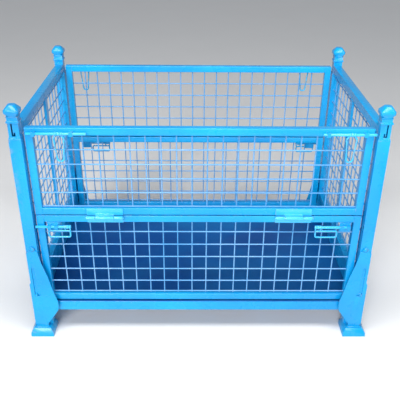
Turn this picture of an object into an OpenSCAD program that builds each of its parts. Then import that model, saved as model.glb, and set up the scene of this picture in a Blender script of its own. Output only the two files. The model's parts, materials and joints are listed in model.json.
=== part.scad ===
// Collapsible stacking cage pallet: steel base on four stacking feet, lift-out mesh side frames and
// half-drop mesh gates on both long sides, held shut by slide bolts.
// Millimetres. X runs along the length, the front faces -Y, Z is up, the feet stand on Z = 0.

/* [Overall] */
// Length over the corner posts
length = 1200; // [1160:10:1240]
// Width over the corner posts
width = 780; // [770:5:840]

/* [Base] */
// Height of the top of the deck sheet
deck_z = 139; // [138:0.5:140]
// Thickness of the deck sheet
deck_t = 3; // [2:0.5:4]
// Height of the base rails
base_rail_h = 38.5; // [34:0.5:42]
// Wall of the base rails
base_wall = 3; // [2:0.5:4]
// Height of a stacking foot
foot_h = 32; // [30:1:34]
// Width of a foot at the floor
foot_w = 84; // [78:1:90]
// Width of a foot at its top
foot_top_w = 60; // [58:1:64]
// Wall of a foot
foot_wall = 4; // [3:0.5:5]
// Height of the rounded top of the leg plates
leg_top_z = 381; // [376:1:388]
// Thickness of the pressed leg plates
leg_t = 4; // [3:0.5:5]

/* [Side frames] */
// Outside width of a corner post
post_w = 40; // [38:1:42]
// Wall of a corner post
post_wall = 2.5; // [2:0.5:3]
// Height of the top of the post tube
post_top_z = 771; // [768:1:774]
// Outside width of the stem of a stacking cap
stem_w = 34; // [33:1:35]
// Height of the flat top of the stacking caps
cap_top_z = 880; // [876:1:886]
// Height the side frames lift before they come free of the leg hooks
side_lift = 110; // [80:5:115]

/* [Gates] */
// Outside width of the gate tubes
gate_tube = 25; // [25:1:26]
// Wall of the gate tubes
gate_wall = 2; // [1.5:0.5:2.5]
// Length of a gate
gate_l = 1106; // [1104:1:1107]
// Height of the bottom of the lower gates
lower_z = 142.5; // [142:0.5:143.5]
// Height of a lower gate
lower_h = 349.5; // [348:0.5:351]
// Height of an upper gate
upper_h = 309.5; // [306:0.5:312]
// Distance from the front of the posts back to the front of the gates
gate_inset = 18; // [18:0.5:19]

/* [Mesh] */
// Spacing of the upright mesh wires
mesh_pitch = 50; // [50:1:52]
// Spacing of the level mesh wires
row_pitch = 51; // [49:0.5:51]
// Diameter of the mesh wires
wire_d = 4.5; // [4:0.5:5]

/* [Latches] */
// Diameter of the slide bolts
bolt_d = 10; // [9:0.5:10]
// Diameter of the wire of the bolt handles
handle_d = 6; // [5:0.5:7]

/* [Hidden] */
$fn = 48;
paint = [0.08, 0.55, 0.85];
deck_paint = [0.06, 0.2, 0.5];
wire_paint = [0.45, 0.65, 0.88];
slack = 0.5;
running = 0.05;
eps = 0.1;
// Corner post and leg
post_x = length / 2 - post_w / 2;
post_y = -(width / 2 - post_w / 2);
post_z = 129;
pin_d = 10;
pin_x = length / 2 - 15;
pin_z = 178;
slot_w = 11;
hook_x = pin_x - 9;
leg_in = post_w / 2 + slack;
leg_out = leg_in + leg_t;
leg_side_z = 222;
stub_w = 44;
stub_z = 46;
foot_skirt_h = 16;
shaft_in = 35;
shaft_d = 44;
shaft_y = -372;
// Base
rail_top = deck_z - deck_t;
rail_z = rail_top - base_rail_h;
rail_y = -(width / 2 - 14);
cross_pitch = 270;
cross_n = 3;
// Caps
stem_wall = 2.5;
cap_lip_h = 5;
flange_z = 825;
flange_h = 5;
neck_z = 845;
cap_wide_z = 856;
cap_wide_h = 9;
cap_wide_w = 48;
cap_flat_w = 24;
cap_round = 9;
// Side frames
side_tube = 30;
side_board_h = 84;
side_wall = 2;
side_x = post_x - post_w / 2;
side_top_z = 808;
side_bottom_z = 143;
bar_t = 9.5;
bar_w = 25;
// Gates
gate_y = -(width / 2 - gate_inset);
gate_mid_y = gate_y + gate_tube / 2;
lower_top = lower_z + lower_h;
upper_z = lower_top + 3;
upper_top = upper_z + upper_h;
wire_gap = 0.06;
gate_rows_upper = [for (i = [0:4]) upper_top - 77 - i * row_pitch];
gate_rows_lower = concat([lower_z + gate_tube + 7.5], [for (i = [0:4]) lower_top - 67.5 - i * row_pitch]);
pivot_y = gate_y + 17;
pivot_z = lower_z + 13;
pivot_d = 10;
pivot_l = 5;
lug_t = 3.5;
lug_gap = 1;
// Hinges between the gates
hinge_x = 319;
hinge_w = 122;
hinge_h = 24;
leaf_t = 3;
knuckle_d = 14;
knuckle_end = 29;
axis_y = gate_y - 19;
axis_z = upper_z - 1.5;
hinge_pin_d = 7;
// Latches
bolt_y = gate_y - 7;
upper_bolt_z = upper_top - 17;
lower_bolt_z = lower_top - 40;
bolt_hole_w = 12;
guide_l = 12;
guide_h = 15;
guide_d = 14;
plate_l = 38;
plate_h = 36;
plate_t = 1.5;
eye_l = 8;
eye_d = 13;
collar_l = 8;
loop_top = 11.5;
guide_x = [405, 524];
plate_guide_x = [487, 510];
plate_x = 499;
upper_c = [-445, 480];
lower_c = [-449, 406];
lower_bolt_l = 120;
lower_c_in = 108;
lower_loop_shift = 29;
lower_loop_w = 80;
lower_loop_drop = 42;
upper_loop_w = [40, 24];
upper_loop_drop = 96;
bolt_tip_x = length / 2 - post_w - 3;

// Copies the front right corner to the corner on side sx (-1 left) and sy (-1 front)
module corner(sx, sy) {
  scale_x = sx > 0 ? 0 : 1;
  scale_y = sy < 0 ? 0 : 1;
  mirror([scale_x, 0, 0]) mirror([0, scale_y, 0]) children();
}

// Turns the front of the cage round to the back
module gate_side(back) {
  rotate([0, 0, back ? 180 : 0]) children();
}

// Square tube, open at both ends, along axis a, from the corner p, with the outside size s
module tube(p, s, a, wall) {
  hole = [for (i = [0:2]) i == a ? s[i] + 2 * eps : s[i] - 2 * wall];
  shift = [for (i = [0:2]) i == a ? -eps : wall];
  translate(p) difference() {
    cube(s);
    translate(shift) cube(hole);
  }
}

module rod_x(x0, x1, y, z, d) {
  translate([x0, y, z]) rotate([0, 90, 0]) cylinder(d = d, h = x1 - x0);
}

module rod_y(x, y0, y1, z, d) {
  translate([x, y0, z]) rotate([-90, 0, 0]) cylinder(d = d, h = y1 - y0);
}

// ---- Base ----

module deck() {
  color(deck_paint) translate([0, 0, rail_top]) linear_extrude(deck_t) union() {
    square([length - 2 * post_w - 12, -2 * rail_y], center = true);
    square([length, width - 2 * (post_w + slack)], center = true);
  }
}

// Long base rail with the two lugs that carry the pivots of the lower gate
module base_rail_long(back) {
  half = length / 2 - post_w;
  lug_x = gate_l / 2 + lug_gap;
  color(paint) gate_side(back) {
    difference() {
      translate([-half, rail_y, rail_z]) cube([2 * half, post_w, base_rail_h]);
      translate([-half - eps, rail_y + base_wall, rail_z + base_wall])
        cube([2 * (half + eps), post_w - 2 * base_wall, base_rail_h - 2 * base_wall]);
    }
    for (s = [-1, 1]) translate([s > 0 ? lug_x : -lug_x - lug_t, 0, 0]) gate_lug();
  }
}

// Lug plate that stands on the deck, with the bore for a gate pivot
module gate_lug() {
  lug_w = 24;
  difference() {
    union() {
      translate([0, pivot_y - lug_w / 2, deck_z]) cube([lug_t, lug_w, pivot_z - deck_z]);
      rod_x(0, lug_t, pivot_y, pivot_z, lug_w);
    }
    rod_x(-eps, lug_t + eps, pivot_y, pivot_z, pivot_d + 2 * running);
    translate([-eps, pivot_y - lug_w, deck_z - lug_w]) cube([lug_t + 2 * eps, 2 * lug_w, lug_w]);
  }
}

module base_rail_side(sx) {
  run = width / 2 - post_w - slack;
  color(paint) corner(sx, -1)
    tube([side_x, -run, rail_z], [post_w, 2 * run, base_rail_h], 1, base_wall);
}

module cross_members() {
  run = -rail_y - post_w;
  color(paint) for (i = [0:cross_n - 1])
    tube([(i - (cross_n - 1) / 2) * cross_pitch - post_w / 2, -run, rail_z],
         [post_w, 2 * run, base_rail_h], 1, base_wall);
}

// Outline of the front leg plate, in X and Z
module leg_outline() {
  out = post_x + leg_out;
  edge = length / 2;
  polygon([
    [out, stub_z], [out, leg_side_z], [edge, leg_side_z + 10], [edge, leg_top_z - 26],
    [edge - 9, leg_top_z - 20], [edge - 15, leg_top_z - 5], [edge - 21, leg_top_z],
    [edge - 27, leg_top_z - 5], [edge - 34, leg_top_z - 18], [edge - 39, leg_top_z - 20],
    [edge - 48, leg_top_z - 71], [edge - 63, leg_top_z - 122], [edge - 79, leg_top_z - 199],
    [edge - 88, rail_top + 14], [edge - 89, rail_top - 7], [edge - 85, rail_z + 10],
    [edge - 42, stub_z]
  ]);
}

// Upright slot for the side frame pin, with its hook at the foot
module leg_slot() {
  slot_end = pin_z + side_lift + 1;
  for (p = [[pin_x, pin_z], [pin_x, slot_end], [hook_x, pin_z]]) translate(p) circle(d = slot_w);
  translate([pin_x - slot_w / 2, pin_z]) square([slot_w, slot_end - pin_z]);
  translate([hook_x, pin_z - slot_w / 2]) square([pin_x - hook_x, slot_w]);
}

module leg(sx, sy) {
  color(paint) corner(sx, sy) {
    translate([0, post_y - leg_in, 0]) rotate([90, 0, 0]) linear_extrude(leg_t) difference() {
      leg_outline();
      leg_slot();
    }
    translate([post_x + leg_in, post_y - leg_in, stub_z]) cube([leg_t, 2 * leg_in, leg_side_z - stub_z]);
    translate([0, 0, stub_z]) leg_box(post_z - stub_z);
    translate([post_x - stub_w / 2, post_y - stub_w / 2, foot_h]) cube([stub_w, stub_w, stub_z - foot_h]);
    translate([post_x - shaft_in, shaft_y, foot_h]) cube([shaft_in - post_w / 2, shaft_d, rail_z - foot_h]);
  }
}

// Square box under the post, closed by the seat that the post stands on
module leg_box(h) {
  wide = post_w + slack;
  translate([side_x, post_y - leg_in, 0]) difference() {
    cube([wide, 2 * leg_in, h]);
    translate([leg_t, leg_t, -eps]) cube([wide - 2 * leg_t, 2 * leg_in - 2 * leg_t, h - leg_t]);
  }
}

// Hollow foot with a skirt and a sloped shoulder, open below so that it drops over a cap
module foot(sx, sy) {
  inner = foot_w - 2 * foot_wall;
  color(paint) corner(sx, sy) translate([post_x, post_y, 0]) difference() {
    union() {
      frustum(foot_w, foot_w - 2, 0, foot_skirt_h);
      frustum(foot_w - 2, foot_top_w, foot_skirt_h, foot_h);
    }
    frustum(inner, inner - 2, -eps, foot_skirt_h - 2);
    frustum(inner - 2, foot_top_w - 2 * foot_wall, foot_skirt_h - 2 - eps, foot_h - foot_wall);
  }
}

module frustum(w0, w1, z0, z1) {
  skin = 0.01;
  hull() {
    translate([-w0 / 2, -w0 / 2, z0]) cube([w0, w0, skin]);
    translate([-w1 / 2, -w1 / 2, z1 - skin]) cube([w1, w1, skin]);
  }
}

// ---- Side frames ----

// Post tube with its lift pin and the hole for the lower bolt
module post(sx, sy) {
  pin_half = leg_out + 1.5;
  color(paint) corner(sx, sy) {
    difference() {
      tube([side_x, post_y - post_w / 2, post_z], [post_w, post_w, post_top_z - post_z], 2, post_wall);
      bolt_hole(side_x, lower_bolt_z);
    }
    rod_y(pin_x, post_y - pin_half, post_y, pin_z, pin_d);
  }
}

// Square hole that a slide bolt enters, in a wall whose inner face is at x
module bolt_hole(x, z) {
  deep = post_w / 2;
  translate([x - eps, bolt_y - bolt_hole_w / 2, z - bolt_hole_w / 2]) cube([deep, bolt_hole_w, bolt_hole_w]);
}

// Stacking cap: a slotted square stem, a flange, a neck and a head that the foot above sits over
module cap(sx, sy) {
  stem_top = flange_z + flange_h;
  color(paint) corner(sx, sy) {
    difference() {
      translate([post_x, post_y, 0]) union() {
        block(post_w - 2, post_top_z, cap_lip_h);
        block(stem_w, post_top_z, stem_top - post_top_z);
        block(post_w, flange_z, flange_h);
      }
      translate([post_x, post_y, 0]) {
        block(stem_w - 2 * stem_wall, post_top_z - eps, flange_z - post_top_z + eps);
        cap_slot();
      }
      bolt_hole(post_x - stem_w / 2, upper_bolt_z);
    }
    translate([post_x, post_y, 0]) {
      block(stem_w, stem_top, neck_z - stem_top);
      head_slice(stem_w, neck_z, cap_wide_w, cap_wide_z);
      head_slice(cap_wide_w, cap_wide_z, cap_wide_w, cap_wide_z + cap_wide_h);
      head_slice(cap_wide_w, cap_wide_z + cap_wide_h, cap_flat_w, cap_top_z);
    }
  }
}

// Part of the head between two rounded squares, w0 wide at z0 and w1 wide at z1
module head_slice(w0, z0, w1, z1) {
  skin = 0.01;
  hull() {
    translate([0, 0, z0]) linear_extrude(skin) round_square(w0);
    translate([0, 0, z1 - skin]) linear_extrude(skin) round_square(w1);
  }
}

module round_square(w) {
  offset(r = cap_round) square(w - 2 * cap_round, center = true);
}

module block(w, z, h) {
  translate([-w / 2, -w / 2, z]) cube([w, w, h]);
}

// Hooked slot in the outer face of the stem
module cap_slot() {
  slot = 5;
  slot_z = 786;
  for (p = [[5, flange_z - slot_z - 2], [-2, 8]])
    translate([p[0] - slot / 2, -stem_w / 2 - 1, slot_z]) cube([slot, stem_wall + 2, p[1]]);
  translate([-2 - slot / 2, -stem_w / 2 - 1, slot_z - slot]) cube([7 + slot, stem_wall + 2, slot]);
}

// Top rail, bottom rail and middle bar of a side frame
module side_rails(sx) {
  stem_run = -post_y - stem_w / 2;
  run = width / 2 - post_w;
  bottom_top = side_bottom_z + side_board_h;
  top_z = side_top_z - side_tube;
  color(paint) corner(sx, -1) {
    tube([side_x + 3, -stem_run, top_z], [side_tube, 2 * stem_run, side_tube], 1, side_wall);
    tube([side_x, -run, side_bottom_z], [side_tube, 2 * run, side_board_h], 1, side_wall);
    translate([side_x + 3, -bar_w / 2, bottom_top]) cube([bar_t, bar_w, top_z - bottom_top]);
  }
}

module side_mesh(sx) {
  run = width / 2 - post_w;
  z0 = side_bottom_z + side_board_h;
  z1 = side_top_z - side_tube;
  x_row = side_x + 3 + bar_t + wire_d / 2 + wire_gap;
  cols = floor((run - mesh_pitch / 2) / mesh_pitch);
  color(wire_paint) corner(sx, -1) {
    for (i = [0:10]) rod_y(x_row, -run, run, z0 + 21 + i * row_pitch, wire_d);
    for (i = [-cols - 1:cols]) translate([x_row + wire_d + wire_gap, (i + 0.5) * mesh_pitch, z0])
      cylinder(d = wire_d, h = z1 - z0);
  }
}

// ---- Gates ----

// Four tubes of a gate: two uprights, and two rails between them
module gate_frame(z, h) {
  in_l = gate_l - 2 * gate_tube;
  for (s = [-1, 1]) translate([s * (gate_l - gate_tube) / 2, gate_mid_y, z]) difference() {
    translate([-gate_tube / 2, -gate_tube / 2, 0]) cube([gate_tube, gate_tube, h]);
    translate([-gate_tube / 2 + gate_wall, -gate_tube / 2 + gate_wall, -eps])
      cube([gate_tube - 2 * gate_wall, gate_tube - 2 * gate_wall, h - gate_wall]);
  }
  for (zr = [z, z + h - gate_tube])
    tube([-in_l / 2, gate_y, zr], [in_l, gate_tube, gate_tube], 0, gate_wall);
}

module gate_mesh(z, h, rows) {
  in_l = gate_l - 2 * gate_tube;
  row_y = gate_mid_y - (wire_d + wire_gap) / 2;
  cols = floor((in_l / mesh_pitch - 1.5) / 2);
  for (zr = rows) rod_x(-in_l / 2, in_l / 2, row_y, zr, wire_d);
  for (i = [-cols - 1:cols])
    translate([(i + 0.5) * mesh_pitch, row_y + wire_d + wire_gap, z + gate_tube])
      cylinder(d = wire_d, h = h - 2 * gate_tube);
}

module lower_gate_frame(back) {
  color(paint) gate_side(back) {
    gate_frame(lower_z, lower_h);
    rod_x(gate_l / 2 - gate_wall, gate_l / 2 + pivot_l, pivot_y, pivot_z, pivot_d);
    rod_x(-gate_l / 2 - pivot_l, -gate_l / 2 + gate_wall, pivot_y, pivot_z, pivot_d);
  }
}

module lower_gate_mesh(back) {
  color(wire_paint) gate_side(back) gate_mesh(lower_z, lower_h, gate_rows_lower);
}

module upper_gate_frame(back) {
  color(paint) gate_side(back) gate_frame(upper_z, upper_h);
}

module upper_gate_mesh(back) {
  color(wire_paint) gate_side(back) gate_mesh(upper_z, upper_h, gate_rows_upper);
}

// Leaves on the lower gate, each with two end knuckles and the hinge pin
module lower_hinge_leaves(back) {
  color(paint) gate_side(back) for (s = [-1, 1]) translate([s * hinge_x, 0, 0]) {
    difference() {
      union() {
        translate([-hinge_w / 2, gate_y - leaf_t, lower_top - hinge_h]) cube([hinge_w, leaf_t, hinge_h]);
        for (x = [-hinge_w / 2, hinge_w / 2 - knuckle_end]) {
          translate([x, axis_y, axis_z - 6]) cube([knuckle_end, -axis_y + gate_y - leaf_t + eps, 4.5]);
          rod_x(x, x + knuckle_end, axis_y, axis_z, knuckle_d);
        }
      }
      rod_x(-hinge_w / 2 - 1, hinge_w / 2 + 1, axis_y, axis_z, hinge_pin_d);
    }
    rod_x(-hinge_w / 2 - 3, hinge_w / 2 + 3, axis_y, axis_z, hinge_pin_d);
  }
}

// Leaves on the upper gate, each with one middle knuckle
module upper_hinge_leaves(back) {
  mid = hinge_w - 2 * knuckle_end - 2;
  color(paint) gate_side(back) for (s = [-1, 1]) translate([s * hinge_x, 0, 0]) difference() {
    union() {
      translate([-hinge_w / 2, gate_y - leaf_t, upper_z]) cube([hinge_w, leaf_t, hinge_h]);
      translate([-mid / 2, axis_y, axis_z + 1.5]) cube([mid, -axis_y + gate_y - leaf_t + eps, 4.5]);
      rod_x(-mid / 2, mid / 2, axis_y, axis_z, knuckle_d);
    }
    rod_x(-mid, mid, axis_y, axis_z, hinge_pin_d + 2 * running);
  }
}

// ---- Latches ----

// Bored block that carries a bolt on the face of a gate
module guide(x, z) {
  difference() {
    translate([x - guide_l / 2, gate_y - guide_d, z - guide_h / 2]) cube([guide_l, guide_d, guide_h]);
    rod_x(x - guide_l, x + guide_l, bolt_y, z, bolt_d + 2 * running);
  }
}

module bolt_guides(back) {
  color(paint) gate_side(back) for (x = guide_x) {
    guide(x, upper_bolt_z);
    guide(-x, upper_bolt_z);
  }
}

// Plates with two bored guides for each lower bolt
module bolt_plates(back) {
  color(paint) gate_side(back) for (m = [0, 1]) mirror([m, 0, 0]) {
    translate([plate_x - plate_l / 2, gate_y - plate_t, lower_top - 24 - plate_h]) cube([plate_l, plate_t, plate_h]);
    for (x = plate_guide_x) intersection() {
      guide(x, lower_bolt_z);
      translate([x - guide_l, gate_y - plate_t - guide_d, 0]) cube([2 * guide_l, guide_d, lower_top]);
    }
  }
}

// Bolt from x0 to x1 with the collar that carries its handle at x = c
module bolt(x0, x1, z, c) {
  rod_x(x0, x1, bolt_y, z, bolt_d);
  rod_x(c - collar_l / 2, c + collar_l / 2, bolt_y, z, eye_d);
}

// Handle with two eyes round the bolt, one each side of the collar at x = c, and a hanging loop
module handle(c, z, shift, top_w, low_w, drop) {
  in = collar_l / 2 + 0.3;
  difference() {
    union() {
      for (m = [0, 1]) translate([c, 0, 0]) mirror([m, 0, 0]) {
        rod_x(in, in + eye_l, bolt_y, z, eye_d);
        translate([in + 1, bolt_y - handle_d / 2, z - loop_top - 1]) cube([eye_l - 2, handle_d, loop_top - 4]);
      }
      translate([c + shift, bolt_y + handle_d / 2, z - loop_top]) rotate([90, 0, 0])
        linear_extrude(handle_d) loop(top_w, low_w, drop - loop_top);
    }
    rod_x(c - top_w, c + top_w, bolt_y, z, bolt_d + 2 * running);
  }
}

// Outline of a loop of flat wire, top_w wide at the top, low_w wide at the foot and h tall
module loop(top_w, low_w, h) {
  bar = handle_d;
  difference() {
    polygon([[-top_w / 2, 0], [top_w / 2, 0], [low_w / 2, -h], [-low_w / 2, -h]]);
    polygon([
      [-top_w / 2 + bar, -bar], [top_w / 2 - bar, -bar],
      [low_w / 2 - bar, -h + bar], [-low_w / 2 + bar, -h + bar]
    ]);
  }
}

// Upper bolts: drawn back on the left of each gate, pushed out on the right
module upper_bolt(back, right) {
  color(paint) gate_side(back) if (right) bolt(388, bolt_tip_x, upper_bolt_z, upper_c[1]);
  else bolt(-547, -358, upper_bolt_z, upper_c[0]);
}

module upper_handle(back, right) {
  color(paint) gate_side(back) handle(upper_c[right ? 1 : 0], upper_bolt_z, 0, upper_loop_w[0],
                                      upper_loop_w[1], upper_loop_drop);
}

// Lower bolts: pushed out on the left of each gate, drawn back on the right
module lower_bolt(back, right) {
  c = lower_c[right ? 1 : 0];
  x0 = right ? c + lower_c_in - lower_bolt_l : c - lower_c_in;
  color(paint) gate_side(back) bolt(x0, x0 + lower_bolt_l, lower_bolt_z, c);
}

module lower_handle(back, right) {
  shift = right ? lower_loop_shift : -lower_loop_shift;
  color(paint) gate_side(back) handle(lower_c[right ? 1 : 0], lower_bolt_z, shift, lower_loop_w,
                                      lower_loop_w, lower_loop_drop);
}

deck();
base_rail_long(false);  // base_rail_front
base_rail_long(true);  // base_rail_back
base_rail_side(-1);  // base_rail_left
base_rail_side(1);  // base_rail_right
cross_members();
leg(-1, -1);  // leg_front_left
leg(1, -1);  // leg_front_right
leg(-1, 1);  // leg_back_left
leg(1, 1);  // leg_back_right
foot(-1, -1);  // foot_front_left
foot(1, -1);  // foot_front_right
foot(-1, 1);  // foot_back_left
foot(1, 1);  // foot_back_right
post(-1, -1);  // post_front_left
post(1, -1);  // post_front_right
post(-1, 1);  // post_back_left
post(1, 1);  // post_back_right
cap(-1, -1);  // cap_front_left
cap(1, -1);  // cap_front_right
cap(-1, 1);  // cap_back_left
cap(1, 1);  // cap_back_right
side_rails(-1);  // side_rails_left
side_rails(1);  // side_rails_right
side_mesh(-1);  // side_mesh_left
side_mesh(1);  // side_mesh_right
lower_gate_frame(false);  // lower_gate_frame_front
lower_gate_frame(true);  // lower_gate_frame_back
lower_gate_mesh(false);  // lower_gate_mesh_front
lower_gate_mesh(true);  // lower_gate_mesh_back
lower_hinge_leaves(false);  // lower_hinge_leaves_front
lower_hinge_leaves(true);  // lower_hinge_leaves_back
bolt_plates(false);  // bolt_plates_front
bolt_plates(true);  // bolt_plates_back
upper_gate_frame(false);  // upper_gate_frame_front
upper_gate_frame(true);  // upper_gate_frame_back
upper_gate_mesh(false);  // upper_gate_mesh_front
upper_gate_mesh(true);  // upper_gate_mesh_back
upper_hinge_leaves(false);  // upper_hinge_leaves_front
upper_hinge_leaves(true);  // upper_hinge_leaves_back
bolt_guides(false);  // bolt_guides_front
bolt_guides(true);  // bolt_guides_back
upper_bolt(false, false);  // upper_bolt_front_left
upper_bolt(false, true);  // upper_bolt_front_right
upper_bolt(true, true);  // upper_bolt_back_left
upper_bolt(true, false);  // upper_bolt_back_right
upper_handle(false, false);  // upper_handle_front_left
upper_handle(false, true);  // upper_handle_front_right
upper_handle(true, true);  // upper_handle_back_left
upper_handle(true, false);  // upper_handle_back_right
lower_bolt(false, false);  // lower_bolt_front_left
lower_bolt(false, true);  // lower_bolt_front_right
lower_bolt(true, true);  // lower_bolt_back_left
lower_bolt(true, false);  // lower_bolt_back_right
lower_handle(false, false);  // lower_handle_front_left
lower_handle(false, true);  // lower_handle_front_right
lower_handle(true, true);  // lower_handle_back_left
lower_handle(true, false);  // lower_handle_back_right
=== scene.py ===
import json
import math
import random

import bmesh
import bpy
from mathutils import Matrix, Vector


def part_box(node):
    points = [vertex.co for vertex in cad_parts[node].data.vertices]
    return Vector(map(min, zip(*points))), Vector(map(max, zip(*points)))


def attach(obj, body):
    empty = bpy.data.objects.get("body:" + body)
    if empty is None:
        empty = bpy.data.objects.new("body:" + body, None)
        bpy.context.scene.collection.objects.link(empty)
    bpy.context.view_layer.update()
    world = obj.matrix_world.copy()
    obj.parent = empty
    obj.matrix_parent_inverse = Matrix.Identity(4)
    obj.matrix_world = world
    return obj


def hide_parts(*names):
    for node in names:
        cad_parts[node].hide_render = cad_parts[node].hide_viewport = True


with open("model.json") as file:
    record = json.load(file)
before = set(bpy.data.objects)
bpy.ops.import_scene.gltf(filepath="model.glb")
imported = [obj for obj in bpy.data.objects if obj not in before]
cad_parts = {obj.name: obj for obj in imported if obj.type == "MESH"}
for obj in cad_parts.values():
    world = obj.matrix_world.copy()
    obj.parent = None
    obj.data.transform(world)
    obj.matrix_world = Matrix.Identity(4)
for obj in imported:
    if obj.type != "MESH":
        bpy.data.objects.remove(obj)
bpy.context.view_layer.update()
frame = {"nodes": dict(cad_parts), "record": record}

MM = 0.001
WELD_GAP = 0.02 * MM
JOINTS = {joint["name"]: Vector(joint["pos_m"]) for joint in frame["record"]["behaviour"]["joints"]
          if "pos_m" in joint}
SIDES = ("left", "right")
FACES = (("front", -1), ("back", 1))

# Sizes of the CAD that the welds and round parts are set out from
PIN_X, PIN_Z = 585 * MM, 178 * MM
LEG_HALF, LEG_PLATE_OUT, LEG_BEAD_TOP = 20 * MM, 20.5 * MM, 128 * MM
BOSS_X = 577 * MM
CAP_LIP, CAP_FLANGE, CAP_NECK = 5 * MM, 54 * MM, 73 * MM
FLANGE_T = 5 * MM
STEM_HALF, CAP_HALF, FOOT_TUBE_HALF = 17 * MM, 19 * MM, 22 * MM
HINGE_HALF, HINGE_PIN_END = 61 * MM, 64 * MM
LEAF_WELD = 21 * MM
PLATE_T = 1.5 * MM
LOWER_LOOP = 74 * MM
BAR_X, BAR_HALF = 563 * MM, 12.5 * MM

# ---- Finishes: the same numbers are used wherever the finish is ----

PAINT = (0.002, 0.345, 0.700, 1.0)
PAINT_DEEP = (0.002, 0.250, 0.580, 1.0)
# Bolts, hinges and handles: a lighter blue than the frame; the extra lightness is a painted highlight for
# their shine
BOLT_PAINTED_HIGHLIGHT = (0.050, 0.480, 0.800, 1.0)
BOLT_PAINTED_HIGHLIGHT_DEEP = (0.015, 0.360, 0.700, 1.0)
WIRE = (0.045, 0.260, 0.560, 1.0)
WIRE_PALE = (0.150, 0.350, 0.620, 1.0)
# The deck colours are darker than the frame's paint: painted shade for a level sheet under low light, with
# the paler scuff tone as wear
DECK_IN_PAINTED_SHADE = (0.001, 0.058, 0.240, 1.0)
DECK_SCUFF_IN_PAINTED_SHADE = (0.006, 0.130, 0.360, 1.0)
STEEL = (0.300, 0.290, 0.280, 1.0)
PALE_FLOOR = (0.850, 0.845, 0.835, 1.0)


class Nodes:
    """A material's node tree, with short calls for the nodes that the finishes share."""

    def __init__(self, name):
        self.material = bpy.data.materials.new(name)
        self.material.use_nodes = True
        self.tree = self.material.node_tree
        self.shader = self.tree.nodes["Principled BSDF"]
        self.place = self.add("ShaderNodeTexCoord").outputs["Object"]

    def add(self, kind, **settings):
        node = self.tree.nodes.new(kind)
        for key, value in settings.items():
            setattr(node, key, value)
        return node

    def link(self, a, b):
        self.tree.links.new(a, b)

    def noise(self, scale, detail=4.0, stretch=(1, 1, 1)):
        """Noise from 0 to 1, with features about 1/scale metres across."""
        mapping = self.add("ShaderNodeMapping")
        mapping.inputs["Scale"].default_value = stretch
        self.link(self.place, mapping.inputs["Vector"])
        node = self.add("ShaderNodeTexNoise")
        node.inputs["Scale"].default_value = scale
        node.inputs["Detail"].default_value = detail
        self.link(mapping.outputs["Vector"], node.inputs["Vector"])
        return node.outputs["Fac"]

    def ramp(self, value, low, high, a=0.0, b=1.0):
        """value stretched so that low gives a and high gives b."""
        node = self.add("ShaderNodeMapRange")
        for key, number in (("From Min", low), ("From Max", high), ("To Min", a), ("To Max", b)):
            node.inputs[key].default_value = number
        self.link(value, node.inputs["Value"])
        return node.outputs["Result"]

    def math(self, operation, a, b):
        node = self.add("ShaderNodeMath", operation=operation)
        for socket, value in zip(node.inputs, (a, b)):
            if isinstance(value, float):
                socket.default_value = value
            else:
                self.link(value, socket)
        return node.outputs["Value"]

    def blend(self, factor, a, b):
        """Colour a where factor is 0, and b where it is 1."""
        node = self.add("ShaderNodeMix", data_type="RGBA")
        self.link(factor, node.inputs["Factor"])
        for socket, value in ((node.inputs[6], a), (node.inputs[7], b)):
            if isinstance(value, tuple):
                socket.default_value = value
            else:
                self.link(value, socket)
        return node.outputs[2]

    def bump(self, height, distance, strength=1.0):
        node = self.add("ShaderNodeBump")
        node.inputs["Distance"].default_value = distance
        node.inputs["Strength"].default_value = strength
        self.link(height, node.inputs["Height"])
        self.link(node.outputs["Normal"], self.shader.inputs["Normal"])

    def edges(self, radius=0.0022):
        """1 close to an edge and 0 on the flat, from how a rounded normal leans there."""
        bevel = self.add("ShaderNodeBevel", samples=4)
        bevel.inputs["Radius"].default_value = radius
        dot = self.add("ShaderNodeVectorMath", operation="DOT_PRODUCT")
        self.link(bevel.outputs["Normal"], dot.inputs[0])
        self.link(self.add("ShaderNodeNewGeometry").outputs["True Normal"], dot.inputs[1])
        return self.ramp(dot.outputs["Value"], 0.98, 0.86)


def paint_material(name, colour, shade, roughness, chips, coat=0.25):
    """Gloss enamel over steel: slow colour drift, orange peel, and chips on the edges and in spots."""
    n = Nodes(name)
    drift = n.ramp(n.noise(3.0, 6.0), 0.35, 0.65)
    base = n.blend(drift, colour, shade)
    grime = n.ramp(n.noise(26.0, 8.0), 0.56, 0.76)
    base = n.blend(n.math("MULTIPLY", grime, 0.35), base, shade)
    spots = n.ramp(n.noise(150.0, 5.0), 0.73, 0.76)
    worn = n.ramp(n.noise(60.0, 6.0), 0.50, 0.62)
    edge = n.math("MULTIPLY", n.edges(), worn)
    chip = n.math("MULTIPLY", n.math("MAXIMUM", edge, spots), chips)
    base = n.blend(chip, base, STEEL)
    n.link(base, n.shader.inputs["Base Color"])
    n.link(n.ramp(n.noise(14.0, 6.0), 0.3, 0.7, roughness - 0.06, roughness + 0.10),
           n.shader.inputs["Roughness"])
    n.shader.inputs["Specular IOR Level"].default_value = 0.35
    n.shader.inputs["Coat Weight"].default_value = coat
    n.shader.inputs["Coat Roughness"].default_value = 0.12
    n.bump(n.noise(420.0, 2.0), 0.0003, 0.35)
    return n.material


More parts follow.
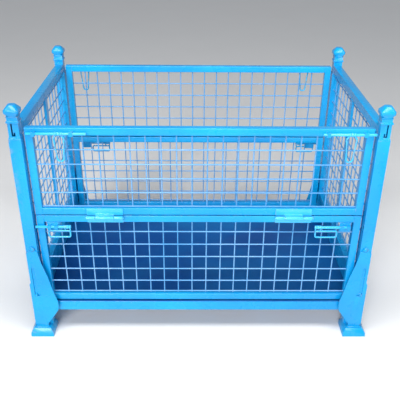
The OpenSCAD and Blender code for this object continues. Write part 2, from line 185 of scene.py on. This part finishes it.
def deck_material():
    """Sheet deck: deep blue paint, darkened all over as painted shade for a level sheet lit from low in
    front, rubbed pale by sliding loads, with shallow dents.
    """
    n = Nodes("deck_enamel_painted_shade")
    rub = n.ramp(n.noise(3.2, 5.0, (0.8, 1.3, 1.0)), 0.42, 0.78)
    scratch = n.ramp(n.noise(40.0, 3.0, (0.15, 3.0, 1.0)), 0.68, 0.76)
    # Deck colour darkened all over as painted shade; the rubbed patches are wear
    base = n.blend(rub, DECK_IN_PAINTED_SHADE, DECK_SCUFF_IN_PAINTED_SHADE)
    base = n.blend(n.math("MULTIPLY", scratch, 0.25), base, DECK_SCUFF_IN_PAINTED_SHADE)
    n.link(base, n.shader.inputs["Base Color"])
    n.link(n.ramp(rub, 0.0, 1.0, 0.34, 0.55), n.shader.inputs["Roughness"])
    n.shader.inputs["Specular IOR Level"].default_value = 0.25
    n.bump(n.noise(7.0, 3.0), 0.006, 0.5)
    return n.material


def floor_material():
    n = Nodes("pale_floor")
    n.link(n.blend(n.noise(2.0, 3.0), PALE_FLOOR, tuple(0.97 * c for c in PALE_FLOOR[:3]) + (1.0,)),
           n.shader.inputs["Base Color"])
    n.shader.inputs["Roughness"].default_value = 0.85
    return n.material


BLUE = paint_material("blue_enamel", PAINT, PAINT_DEEP, 0.26, 0.55)
MESH = paint_material("wire_enamel", WIRE, WIRE_PALE, 0.30, 0.30)
# Bolt, hinge and handle enamel: lower roughness and a thicker coat give real gloss; the lighter base colour
# is a painted highlight
HIGHLIT_BOLT_ENAMEL = paint_material("bolt_enamel_painted_highlight", BOLT_PAINTED_HIGHLIGHT, BOLT_PAINTED_HIGHLIGHT_DEEP, 0.20, 0.60, coat=0.5)
SHEET = deck_material()


# ---- Shared mesh work ----

def new_piece(name, bm, material, body):
    """An object from a bmesh, riding on a body."""
    mesh = bpy.data.meshes.new(name)
    bmesh.ops.recalc_face_normals(bm, faces=bm.faces)
    bm.to_mesh(mesh)
    bm.free()
    piece = bpy.data.objects.new(name, mesh)
    bpy.context.scene.collection.objects.link(piece)
    mesh.materials.append(material)
    for face in mesh.polygons:
        face.use_smooth = True
    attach(piece, body)
    return piece


def sweep(bm, points, radius, sides=10, closed=False, wobble=0.0, rng=None):
    """A round wire along the points, added to bm. wobble varies its radius, as a weld bead's does."""
    count = len(points)
    rings = []
    up = Vector((0, 0, 1))
    for i, point in enumerate(points):
        before = points[(i - 1) % count] if closed or i else point
        after = points[(i + 1) % count] if closed or i < count - 1 else point
        along = (after - before).normalized()
        side = along.cross(up)
        if side.length < 0.1:
            side = along.cross(Vector((0, 1, 0)))
        side.normalize()
        lift = side.cross(along)
        r = radius * (1 + wobble * (rng.random() - 0.5) * 2 if rng else 1)
        ring = []
        for k in range(sides):
            a = 2 * math.pi * k / sides
            ring.append(bm.verts.new(point + (side * math.cos(a) + lift * math.sin(a)) * r))
        rings.append(ring)
    pairs = list(zip(rings, rings[1:])) + ([(rings[-1], rings[0])] if closed else [])
    for a, b in pairs:
        for k in range(sides):
            bm.faces.new((a[k], a[(k + 1) % sides], b[(k + 1) % sides], b[k]))
    if not closed:
        bm.faces.new(reversed(rings[0]))
        bm.faces.new(rings[-1])


def rounded(corners, radius, steps=6):
    """A path through the corners with each inner corner turned into an arc of about radius."""
    path = [corners[0]]
    for a, b, c in zip(corners, corners[1:], corners[2:]):
        start = b + (a - b).normalized() * min(radius, (a - b).length / 2)
        end = b + (c - b).normalized() * min(radius, (c - b).length / 2)
        for i in range(steps + 1):
            t = i / steps
            path.append(start * (1 - t) ** 2 + b * 2 * t * (1 - t) + end * t * t)
    path.append(corners[-1])
    return path


# ---- CAD nodes: rounded edges and finishes ----

# Width in mm of the rounded edges. The first key that is in a node's name counts. Wider edges leave a
# streak on the side boards, and make the lower bolts cut into the posts.
BEVELS = {"foot": 1.6, "leg": 1.2, "cap": 1.2, "post": 0.95, "side_rails": 0.95, "rail": 2.2,
          "cross": 1.6, "gate_frame": 2.2, "hinge": 0.8, "plates": 0.7, "guides": 1.2, "_bolt_": 1.0}
OTHER_BEVEL, DECK_BEVEL = 0.8, 0.6
TUBES = ("post", "rail", "gate_frame")


def dress_node(name, material, bevel, clamp=True):
    """The finish and rounded edges of a node. clamp narrows the edges where they lie close together."""
    node = frame["nodes"][name]
    node.data.materials.clear()
    node.data.materials.append(material)
    weld = node.modifiers.new("weld", "WELD")
    weld.merge_threshold = WELD_GAP
    if bevel:
        flat = node.modifiers.new("flat", "DECIMATE")
        flat.decimate_type = "DISSOLVE"
        flat.angle_limit = math.radians(0.5)
        edge = node.modifiers.new("bevel", "BEVEL")
        edge.width = bevel
        edge.segments = 3
        edge.limit_method = "ANGLE"
        edge.angle_limit = math.radians(40)
        edge.harden_normals = True
        edge.use_clamp_overlap = clamp
    for face in node.data.polygons:
        face.use_smooth = True
    if not bevel:
        node.modifiers.new("normals", "WEIGHTED_NORMAL").keep_sharp = True


def dress_nodes():
    """The finish of every node. The tubes keep the full width of their edges."""
    for name in frame["nodes"]:
        if name == "deck":
            dress_node(name, SHEET, DECK_BEVEL * MM)
        elif "mesh" in name:
            dress_node(name, MESH, 0)
        else:
            width = next((w for key, w in BEVELS.items() if key in name), OTHER_BEVEL)
            # Bolts and hinges get the enamel made lighter by a painted highlight
            finish = HIGHLIT_BOLT_ENAMEL if "_bolt_" in name or "hinge" in name else BLUE
            dress_node(name, finish, width * MM, clamp=not any(key in name for key in TUBES))


# ---- Detail pieces, each riding on the body that it is fixed to ----

def islands(node_name):
    """The boxes of the separate solids in a CAD node."""
    mesh = frame["nodes"][node_name].data
    bm = bmesh.new()
    bm.from_mesh(mesh)
    bmesh.ops.remove_doubles(bm, verts=bm.verts, dist=WELD_GAP)
    left = set(bm.verts)
    boxes = []
    while left:
        stack = [left.pop()]
        lo, hi = stack[0].co.copy(), stack[0].co.copy()
        while stack:
            vert = stack.pop()
            for axis in range(3):
                lo[axis] = min(lo[axis], vert.co[axis])
                hi[axis] = max(hi[axis], vert.co[axis])
            for edge in vert.link_edges:
                other = edge.other_vert(vert)
                if other in left:
                    left.remove(other)
                    stack.append(other)
        boxes.append((lo, hi))
    bm.free()
    return sorted(boxes, key=lambda box: tuple(round(c, 4) for c in box[0]))


def blob(bm, centre, size):
    """A small rounded lump, size being its half widths."""
    made = bmesh.ops.create_icosphere(bm, subdivisions=1, radius=1.0)
    for vert in made["verts"]:
        vert.co = centre + Vector(c * s for c, s in zip(vert.co, size))


def mesh_welds(node_name, body):
    """Resistance welds where the wires cross, and where they meet the frame round them."""
    boxes = islands(node_name)
    level = [b for b in boxes if b[1].z - b[0].z < 10 * MM]
    upright = [b for b in boxes if b[1].z - b[0].z >= 10 * MM]
    bm = bmesh.new()
    for a in level:
        run = 0 if a[1].x - a[0].x > a[1].y - a[0].y else 1
        across = 1 - run
        for b in upright:
            centre = (a[0] + a[1]) / 2
            centre[run] = (b[0][run] + b[1][run]) / 2
            centre[across] = (centre[across] + (b[0][across] + b[1][across]) / 2) / 2
            size = Vector((3.1 * MM, 3.1 * MM, 3.1 * MM))
            size[across] = 2.6 * MM
            blob(bm, centre, size)
        for end in (a[0][run], a[1][run]):
            centre = (a[0] + a[1]) / 2
            centre[run] = end
            blob(bm, centre, Vector((3.4 * MM, 3.4 * MM, 3.0 * MM)))
    for b in upright:
        for end in (b[0].z, b[1].z):
            centre = (b[0] + b[1]) / 2
            centre.z = end
            blob(bm, centre, Vector((3.2 * MM, 3.2 * MM, 2.6 * MM)))
    new_piece(node_name + "_welds", bm, MESH, body)


def bead(bm, a, b, radius, rng):
    """A fillet weld from a to b, rippled along its length."""
    length = (b - a).length
    count = max(4, int(length / (1.6 * MM)))
    points = [a + (b - a) * (i / count) for i in range(count + 1)]
    sweep(bm, points, radius, sides=6, wobble=0.16, rng=rng)


def bead_loop(bm, lo, hi, z, radius, rng):
    """Welds round a square at height z, just outside the x and y of the box."""
    corners = [Vector((lo.x, lo.y, z)), Vector((hi.x, lo.y, z)), Vector((hi.x, hi.y, z)),
               Vector((lo.x, hi.y, z))]
    for a, b in zip(corners, corners[1:] + corners[:1]):
        bead(bm, a, b, radius, rng)


def gate_welds(level, face, rng):
    """Welds at the corners of a gate frame, on its outer and inner faces."""
    lo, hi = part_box(f"{level}_gate_mesh_{face}")
    frame_lo, frame_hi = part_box(f"upper_gate_frame_{face}")
    z0, z1 = (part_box(f"{level}_gate_frame_{face}")[k].z for k in (0, 1))
    bm = bmesh.new()
    for x in (lo.x, hi.x):
        for a, b in ((z0 + 1.5 * MM, lo.z - 1.5 * MM), (hi.z + 1.5 * MM, z1 - 1.5 * MM)):
            for y in (frame_lo.y, frame_hi.y):
                bead(bm, Vector((x, y, a)), Vector((x, y, b)), 1.3 * MM, rng)
    for x in (lo.x, hi.x):
        for z in (lo.z, hi.z):
            bead(bm, Vector((x, frame_lo.y + 2 * MM, z)), Vector((x, frame_hi.y - 2 * MM, z)), 1.6 * MM, rng)
    new_piece(f"{level}_gate_welds_{face}", bm, BLUE, f"{level}_gate_{face}")


def hinge_trim(level, face, out, rng):
    """Welds round the hinge leaves, and the peened ends of the hinge pins on the lower gate."""
    gate_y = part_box(f"upper_gate_frame_{face}")[0 if out < 0 else 1].y
    bm = bmesh.new()
    leaves = islands(f"{level}_hinge_leaves_{face}")
    leaves = [b for b in leaves if b[1].z - b[0].z > 15 * MM]
    for lo, hi in leaves:
        mid = (lo.x + hi.x) / 2
        edge = lo.z if level == "lower" else hi.z
        inner = edge + (LEAF_WELD if level == "lower" else -LEAF_WELD)
        for x in (mid - HINGE_HALF, mid + HINGE_HALF):
            bead(bm, Vector((x, gate_y, edge)), Vector((x, gate_y, inner)), 2.0 * MM, rng)
        bead(bm, Vector((mid - HINGE_HALF, gate_y, edge)), Vector((mid + HINGE_HALF, gate_y, edge)),
             2.0 * MM, rng)
        if level == "lower":
            axis = JOINTS[f"upper_gate_drop_{face}"]
            for s in (-1, 1):
                blob(bm, Vector((mid + s * HINGE_PIN_END, axis.y, axis.z)), Vector((1.8, 4.6, 4.6)) * MM)
    new_piece(f"{level}_hinge_trim_{face}", bm, BLUE, f"{level}_gate_{face}")


def guide_welds(level, face, out, rng):
    """Welds down both sides of the blocks that the bolts slide in."""
    gate_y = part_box(f"upper_gate_frame_{face}")[0 if out < 0 else 1].y
    node, body = (f"bolt_guides_{face}", f"upper_gate_{face}") if level == "upper" else (
        f"bolt_plates_{face}", f"lower_gate_{face}")
    bm = bmesh.new()
    for lo, hi in islands(node):
        if level == "upper":
            for x in (lo.x, hi.x):
                bead(bm, Vector((x, gate_y, lo.z)), Vector((x, gate_y, hi.z)), 1.4 * MM, rng)
        else:
            rail_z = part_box(f"lower_gate_mesh_{face}")[1].z
            plate_y = gate_y + out * PLATE_T
            bead(bm, Vector((lo.x + 3 * MM, plate_y, rail_z)), Vector((hi.x - 3 * MM, plate_y, rail_z)),
                 1.0 * MM, rng)
            for x in (lo.x, hi.x):
                bead(bm, Vector((x, gate_y, rail_z)), Vector((x, gate_y, hi.z)), 1.4 * MM, rng)
    new_piece(f"{node}_welds", bm, BLUE, body)


def sleeve(bm, centre, length, inner, outer):
    """A short tube round the X axis with rounded rims, for the eye of a handle."""
    profile = [(-length / 2, inner), (-length / 2, outer - 1.2 * MM), (-length / 2 + 1.2 * MM, outer),
               (length / 2 - 1.2 * MM, outer), (length / 2, outer - 1.2 * MM), (length / 2, inner)]
    sides = 28
    rings = []
    for x, r in profile:
        rings.append([bm.verts.new(centre + Vector((x, r * math.cos(2 * math.pi * k / sides),
                                                    r * math.sin(2 * math.pi * k / sides))))
                      for k in range(sides)])
    for a, b in zip(rings, rings[1:] + rings[:1]):
        for k in range(sides):
            bm.faces.new((a[k], b[k], b[(k + 1) % sides], a[(k + 1) % sides]))


def bolt_handle(level, face, side):
    """Round wire handle: two eyes on the bolt, and a loop that hangs from them."""
    name = f"{level}_handle_{face}_{side}"
    lo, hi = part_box(name)
    pivot = JOINTS[name + "_swing"]
    wire, eye_x = 3.0 * MM, 8.3 * MM
    bm = bmesh.new()
    for s in (-1, 1):
        sleeve(bm, pivot + Vector((s * eye_x, 0, 0)), 7.6 * MM, 5.15 * MM, 6.5 * MM)
    foot = lo.z + wire

    def at(x, z):
        return Vector((x, pivot.y, z))

    if level == "upper":
        top, half = pivot.z - 13 * MM, (hi.x - lo.x) / 2 - wire
        low = 9 * MM
        path = [at(pivot.x - eye_x, pivot.z - 6.8 * MM), at(pivot.x - half, top), at(pivot.x - low, foot),
                at(pivot.x + low, foot), at(pivot.x + half, top), at(pivot.x + eye_x, pivot.z - 6.8 * MM)]
        sweep(bm, rounded(path, 9 * MM), wire)
    else:
        top = pivot.z - 14.5 * MM
        away = 1 if lo.x + hi.x > 2 * pivot.x else -1
        far = (hi.x if away > 0 else lo.x) - away * wire
        near = far - away * LOWER_LOOP
        path = [at(pivot.x, top), at(far, top), at(far, foot), at(near, foot), at(near, top),
                at(pivot.x, top)]
        sweep(bm, rounded(path, 8 * MM)[:-1], wire, closed=True)
        for s in (-1, 1):
            x = pivot.x + s * eye_x
            sweep(bm, [at(x, pivot.z - 5.6 * MM), at(x, top)], 2.4 * MM)
    # The handle gets the enamel made lighter by a painted highlight
    piece = new_piece(f"round_{name}", bm, HIGHLIT_BOLT_ENAMEL, name)
    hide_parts(name)


def corner_trim(face, side, out, rng):
    """Welds of the cap, and the domed end of the lift pin, at one corner."""
    corner = f"{face}_{side}"
    cap_lo, cap_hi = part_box("cap_" + corner)
    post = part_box("post_" + corner)
    across = 1 if side == "right" else -1
    mid = Vector(((cap_lo.x + cap_hi.x) / 2, (cap_lo.y + cap_hi.y) / 2, 0))
    stem = [mid + s * Vector((STEM_HALF, STEM_HALF, 0)) for s in (-1, 1)]
    tube = [mid + s * Vector((CAP_HALF, CAP_HALF, 0)) for s in (-1, 1)]
    bm = bmesh.new()
    flange_z = cap_lo.z + CAP_FLANGE
    bead_loop(bm, *stem, flange_z, 1.5 * MM, rng)
    bead_loop(bm, *stem, flange_z + FLANGE_T, 1.5 * MM, rng)
    bead_loop(bm, *stem, cap_lo.z + CAP_LIP, 1.6 * MM, rng)
    bead_loop(bm, *stem, cap_lo.z + CAP_NECK, 1.8 * MM, rng)
    bead_loop(bm, *tube, cap_lo.z, 1.4 * MM, rng)
    pin_y = post[0].y if out < 0 else post[1].y
    blob(bm, Vector((across * PIN_X, pin_y, PIN_Z)), Vector((4.8, 1.6, 4.8)) * MM)
    new_piece("corner_trim_" + corner, bm, BLUE, "side_frame_" + side)


def leg_welds(face, side, out, rng):
    """Welds between the foot, the leg and the base rails, and the boss at the top of the leg plate."""
    corner = f"{face}_{side}"
    foot_lo, foot_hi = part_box("foot_" + corner)
    mid = (foot_lo + foot_hi) / 2
    across = 1 if side == "right" else -1
    bm = bmesh.new()
    half = Vector((FOOT_TUBE_HALF, FOOT_TUBE_HALF, 0))
    bead_loop(bm, mid - half, mid + half, foot_hi.z, 2.2 * MM, rng)
    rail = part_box("base_rail_" + face)
    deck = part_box("deck")
    rail_front = rail[0].y if out < 0 else rail[1].y
    x = across * rail[1].x
    bead(bm, Vector((x, rail_front, rail[0].z)), Vector((x, rail_front, deck[0].z)), 2.4 * MM, rng)
    plate_y = mid.y + out * LEG_PLATE_OUT
    for edge in (LEG_HALF, -LEG_HALF):
        x = mid.x + across * edge
        bead(bm, Vector((x, plate_y, foot_hi.z + 16 * MM)), Vector((x, plate_y, LEG_BEAD_TOP)), 1.8 * MM, rng)
    boss = Vector((across * BOSS_X, plate_y + out * 4 * MM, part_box("leg_" + corner)[1].z - 12 * MM))
    blob(bm, boss, Vector((11, 2.4, 9)) * MM)
    new_piece("leg_welds_" + corner, bm, BLUE, "base")


def base_welds(rng):
    """Welds under the deck, where the cross members meet the long base rails."""
    bm = bmesh.new()
    for lo, hi in islands("cross_members"):
        for y in (lo.y, hi.y):
            for x in (lo.x, hi.x):
                bead(bm, Vector((x, y, lo.z)), Vector((x, y, hi.z)), 2.2 * MM, rng)
            bead(bm, Vector((lo.x, y, lo.z)), Vector((hi.x, y, lo.z)), 2.2 * MM, rng)
    new_piece("base_welds", bm, BLUE, "base")


def side_welds(side, rng):
    """Welds where the side rails meet the posts and where the middle bar meets the rails."""
    lo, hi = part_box("side_rails_" + side)
    mesh_lo, mesh_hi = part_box("side_mesh_" + side)
    bm = bmesh.new()
    for y in (mesh_lo.y, mesh_hi.y):
        for x in (lo.x, hi.x):
            bead(bm, Vector((x, y, lo.z)), Vector((x, y, mesh_lo.z)), 1.6 * MM, rng)
        for z in (lo.z, mesh_lo.z):
            bead(bm, Vector((lo.x, y, z)), Vector((hi.x, y, z)), 1.6 * MM, rng)
    inner = BAR_X * (1 if side == "right" else -1)
    for z in (mesh_lo.z, mesh_hi.z):
        bead(bm, Vector((inner, -BAR_HALF, z)), Vector((inner, BAR_HALF, z)), 1.8 * MM, rng)
    new_piece("side_welds_" + side, bm, BLUE, "side_frame_" + side)


def add_details():
    """All the detail pieces. One random sequence ripples every weld, so their order is fixed."""
    rng = random.Random(4)
    base_welds(rng)
    for side in SIDES:
        side_welds(side, rng)
        mesh_welds("side_mesh_" + side, "side_frame_" + side)
    for face, out in FACES:
        for level in ("lower", "upper"):
            gate_welds(level, face, rng)
            hinge_trim(level, face, out, rng)
            guide_welds(level, face, out, rng)
            mesh_welds(f"{level}_gate_mesh_{face}", f"{level}_gate_{face}")
            for side in SIDES:
                bolt_handle(level, face, side)
        for side in SIDES:
            corner_trim(face, side, out, rng)
            leg_welds(face, side, out, rng)


# ---- Camera, floor and lights ----

def add_camera():
    """The view of a standing person, a little left of the middle and looking down."""
    gate_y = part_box("upper_gate_frame_front")[0].y
    eye = Vector((-0.0198, gate_y - 1.8197, 1.4922))
    yaw, pitch, roll = 0.01213, 0.52428, 0.00822
    ahead = Vector((math.sin(yaw) * math.cos(pitch), math.cos(yaw) * math.cos(pitch), -math.sin(pitch)))
    right = Vector((math.cos(yaw), -math.sin(yaw), 0))
    up = right.cross(ahead)
    tilted_right = right * math.cos(roll) + up * math.sin(roll)
    tilted_up = up * math.cos(roll) - right * math.sin(roll)
    turn = Matrix((tilted_right, tilted_up, -ahead)).transposed().to_4x4()
    data = bpy.data.cameras.new("camera")
    data.sensor_width = 36.0
    data.lens = 55.13
    data.shift_y = 0.0731
    camera = bpy.data.objects.new("camera", data)
    camera.matrix_world = Matrix.Translation(eye) @ turn
    bpy.context.scene.collection.objects.link(camera)
    bpy.context.scene.camera = camera


def add_floor():
    """A plain pale floor. It is stage only, and no part of the object."""
    bm = bmesh.new()
    bmesh.ops.create_grid(bm, x_segments=1, y_segments=1, size=12.0)
    mesh = bpy.data.meshes.new("floor")
    bm.to_mesh(mesh)
    bm.free()
    floor = bpy.data.objects.new("floor", mesh)
    mesh.materials.append(floor_material())
    bpy.context.scene.collection.objects.link(floor)


def add_light(name, place, target, size, power):
    data = bpy.data.lights.new(name, "AREA")
    data.shape = "RECTANGLE"
    data.size, data.size_y = size
    data.energy = power
    light = bpy.data.objects.new(name, data)
    light.location = place
    light.rotation_euler = (Vector(target) - Vector(place)).to_track_quat("-Z", "Y").to_euler()
    bpy.context.scene.collection.objects.link(light)


def add_sun(name, towards, strength, spread):
    """Soft light from the direction towards, with a disc of spread degrees."""
    data = bpy.data.lights.new(name, "SUN")
    data.energy = strength
    data.angle = math.radians(spread)
    light = bpy.data.objects.new(name, data)
    light.rotation_euler = Vector(towards).to_track_quat("Z", "Y").to_euler()
    bpy.context.scene.collection.objects.link(light)


def add_lights():
    """Soft studio light: a low sun from the front, two area lights, and a room that is darker overhead."""
    bpy.context.scene.view_settings.view_transform = "Standard"
    world = bpy.data.worlds.new("studio")
    bpy.context.scene.world = world
    world.use_nodes = True
    tree = world.node_tree
    background = tree.nodes["Background"]
    background.inputs["Strength"].default_value = 0.5
    split = tree.nodes.new("ShaderNodeSeparateXYZ")
    tree.links.new(tree.nodes.new("ShaderNodeTexCoord").outputs["Generated"], split.inputs["Vector"])
    ramp = tree.nodes.new("ShaderNodeValToRGB")
    ramp.color_ramp.elements[0].position = 0.10
    ramp.color_ramp.elements[0].color = (0.75, 0.82, 0.90, 1.0)
    ramp.color_ramp.elements[1].position = 0.80
    ramp.color_ramp.elements[1].color = (0.10, 0.12, 0.16, 1.0)
    tree.links.new(split.outputs["Z"], ramp.inputs["Fac"])
    tree.links.new(ramp.outputs["Color"], background.inputs["Color"])
    add_sun("daylight", (-0.3, -1.0, 0.50), 1.85, 25)
    add_light("front", (-0.4, -4.6, 1.9), (0, 0, 0.4), (4.4, 2.0), 90)
    add_light("strip", (0.0, -1.4, 3.2), (0, -0.3, 0.5), (4.0, 0.9), 110)


dress_nodes()
add_details()
add_camera()
add_floor()
add_lights()
